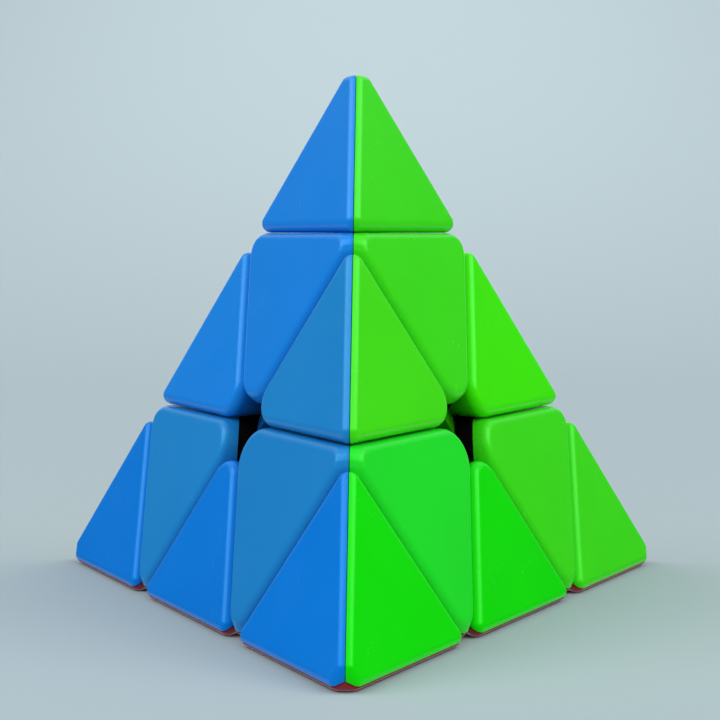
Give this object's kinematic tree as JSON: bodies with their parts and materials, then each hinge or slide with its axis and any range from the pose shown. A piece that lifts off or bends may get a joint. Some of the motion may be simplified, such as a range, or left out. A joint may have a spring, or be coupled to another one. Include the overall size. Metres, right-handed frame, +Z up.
{
  "type": "pyramid twisty puzzle",
  "caption": "Tetrahedral twisty puzzle in four face colours: each corner layer turns about its own axis, and each corner tip also spins alone.",
  "frame": {"origin": "centre of the core, where the four turning axes meet; it is also the centroid", "axes": "+Z up through the top corner, -Y towards the front edge between the blue and green faces, +X to the right corner's side"},
  "size_m": [0.098, 0.0856, 0.0805],
  "materials": {
    "plastic_blue": "smooth moulded plastic with a soft gloss",
    "plastic_green": "smooth moulded plastic with a soft gloss",
    "plastic_red": "smooth moulded plastic with a soft gloss",
    "plastic_yellow": "smooth moulded plastic with a soft gloss",
    "mechanism_black": "black moulded nylon, matt",
    "steel": "bright plated steel"
  },
  "bodies": {
    "core": {"core": "mechanism_black", "screw_top": "steel", "screw_front": "steel", "screw_right": "steel", "screw_left": "steel"},
    "top_axial": {"hub_top": "mechanism_black", "spring_top": "steel", "axial_top_yellow": "plastic_yellow", "axial_top_blue": "plastic_blue", "axial_top_green": "plastic_green"},
    "top_tip": {"tip_pivot_top": "mechanism_black", "tip_top_yellow": "plastic_yellow", "tip_top_blue": "plastic_blue", "tip_top_green": "plastic_green"},
    "front_axial": {"hub_front": "mechanism_black", "spring_front": "steel", "axial_front_red": "plastic_red", "axial_front_blue": "plastic_blue", "axial_front_green": "plastic_green"},
    "front_tip": {"tip_pivot_front": "mechanism_black", "tip_front_red": "plastic_red", "tip_front_blue": "plastic_blue", "tip_front_green": "plastic_green"},
    "right_axial": {"hub_right": "mechanism_black", "spring_right": "steel", "axial_right_red": "plastic_red", "axial_right_yellow": "plastic_yellow", "axial_right_green": "plastic_green"},
    "right_tip": {"tip_pivot_right": "mechanism_black", "tip_right_red": "plastic_red", "tip_right_yellow": "plastic_yellow", "tip_right_green": "plastic_green"},
    "left_axial": {"hub_left": "mechanism_black", "spring_left": "steel", "axial_left_red": "plastic_red", "axial_left_yellow": "plastic_yellow", "axial_left_blue": "plastic_blue"},
    "left_tip": {"tip_pivot_left": "mechanism_black", "tip_left_red": "plastic_red", "tip_left_yellow": "plastic_yellow", "tip_left_blue": "plastic_blue"},
    "top_front_edge": {"edge_top_front_blue": "plastic_blue", "edge_top_front_green": "plastic_green"},
    "top_right_edge": {"edge_top_right_yellow": "plastic_yellow", "edge_top_right_green": "plastic_green"},
    "top_left_edge": {"edge_top_left_yellow": "plastic_yellow", "edge_top_left_blue": "plastic_blue"},
    "front_right_edge": {"edge_front_right_red": "plastic_red", "edge_front_right_green": "plastic_green"},
    "front_left_edge": {"edge_front_left_red": "plastic_red", "edge_front_left_blue": "plastic_blue"},
    "right_left_edge": {"edge_right_left_red": "plastic_red", "edge_right_left_yellow": "plastic_yellow"}
  },
  "joints": [
    {"name": "top_layer", "type": "hinge", "parent": "core", "child": "top_axial", "pos_m": [0, 0, 0], "axis": [0, 0, 1], "range_deg": [-240, 120]},
    {"name": "top_tip_spin", "type": "hinge", "parent": "top_axial", "child": "top_tip", "pos_m": [0, 0, 0], "axis": [0, 0, 1], "continuous": true},
    {"name": "front_layer", "type": "hinge", "parent": "core", "child": "front_axial", "pos_m": [0, 0, 0], "axis": [0, -0.9428, -0.3333], "range_deg": [-240, 120]},
    {"name": "front_tip_spin", "type": "hinge", "parent": "front_axial", "child": "front_tip", "pos_m": [0, 0, 0], "axis": [0, -0.9428, -0.3333], "continuous": true},
    {"name": "right_layer", "type": "hinge", "parent": "core", "child": "right_axial", "pos_m": [0, 0, 0], "axis": [0.8165, 0.4714, -0.3333], "range_deg": [-240, 120]},
    {"name": "right_tip_spin", "type": "hinge", "parent": "right_axial", "child": "right_tip", "pos_m": [0, 0, 0], "axis": [0.8165, 0.4714, -0.3333], "continuous": true},
    {"name": "left_layer", "type": "hinge", "parent": "core", "child": "left_axial", "pos_m": [0, 0, 0], "axis": [-0.8165, 0.4714, -0.3333], "range_deg": [-240, 120]},
    {"name": "left_tip_spin", "type": "hinge", "parent": "left_axial", "child": "left_tip", "pos_m": [0, 0, 0], "axis": [-0.8165, 0.4714, -0.3333], "continuous": true},
    {"name": "top_front_edge_turn", "type": "hinge", "parent": "top_axial", "child": "top_front_edge", "pos_m": [0, 0, 0], "axis": [0, -0.9428, -0.3333], "range_deg": [-240, 120]},
    {"name": "top_right_edge_turn", "type": "hinge", "parent": "top_axial", "child": "top_right_edge", "pos_m": [0, 0, 0], "axis": [0.8165, 0.4714, -0.3333], "range_deg": [-240, 120]},
    {"name": "top_left_edge_turn", "type": "hinge", "parent": "top_axial", "child": "top_left_edge", "pos_m": [0, 0, 0], "axis": [-0.8165, 0.4714, -0.3333], "range_deg": [-240, 120]},
    {"name": "front_right_edge_turn", "type": "hinge", "parent": "front_axial", "child": "front_right_edge", "pos_m": [0, 0, 0], "axis": [0.8165, 0.4714, -0.3333], "range_deg": [-240, 120]},
    {"name": "front_left_edge_turn", "type": "hinge", "parent": "left_axial", "child": "front_left_edge", "pos_m": [0, 0, 0], "axis": [0, -0.9428, -0.3333], "range_deg": [-240, 120]},
    {"name": "right_left_edge_turn", "type": "hinge", "parent": "right_axial", "child": "right_left_edge", "pos_m": [0, 0, 0], "axis": [-0.8165, 0.4714, -0.3333], "range_deg": [-240, 120]}
  ],
  "couplings": [
    {"joint": "top_front_edge_turn", "follows": "front_layer", "ratio": 1},
    {"joint": "top_right_edge_turn", "follows": "right_layer", "ratio": 1},
    {"joint": "top_left_edge_turn", "follows": "left_layer", "ratio": 1},
    {"joint": "front_right_edge_turn", "follows": "right_layer", "ratio": 1},
    {"joint": "front_left_edge_turn", "follows": "front_layer", "ratio": 1},
    {"joint": "right_left_edge_turn", "follows": "left_layer", "ratio": 1}
  ]
}
